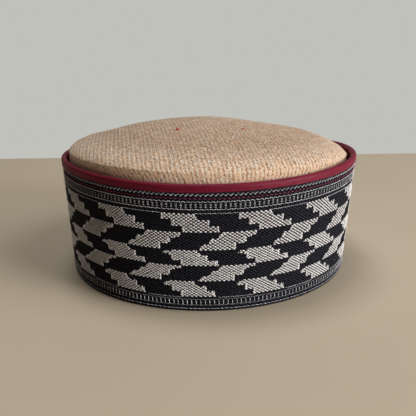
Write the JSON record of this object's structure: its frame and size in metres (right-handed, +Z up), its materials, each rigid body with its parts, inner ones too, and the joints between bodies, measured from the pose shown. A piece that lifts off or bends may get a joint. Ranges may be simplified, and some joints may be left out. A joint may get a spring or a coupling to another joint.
{
  "type": "himachali cap",
  "caption": "Round pillbox cap with a domed woollen crown, a stiff patterned woven band and a folded tape over the band's top edge.",
  "frame": {"origin": "on the floor, in the middle of the cap's outline", "axes": "+Z up through the top of the crown, the front of the cap looks towards -Y, +X to the right as seen from the front"},
  "size_m": [0.1959, 0.1958, 0.0955],
  "materials": {
    "crown_wool": "matte melange wool in cream, tan and light brown",
    "woven_band": "matte black cotton weave with stepped ivory motifs and ivory border lines",
    "edge_tape": "smooth maroon tape with a soft satin sheen"
  },
  "bodies": {
    "root": {"crown": "crown_wool", "band": "woven_band", "edge_binding": "edge_tape"}
  },
  "joints": []
}
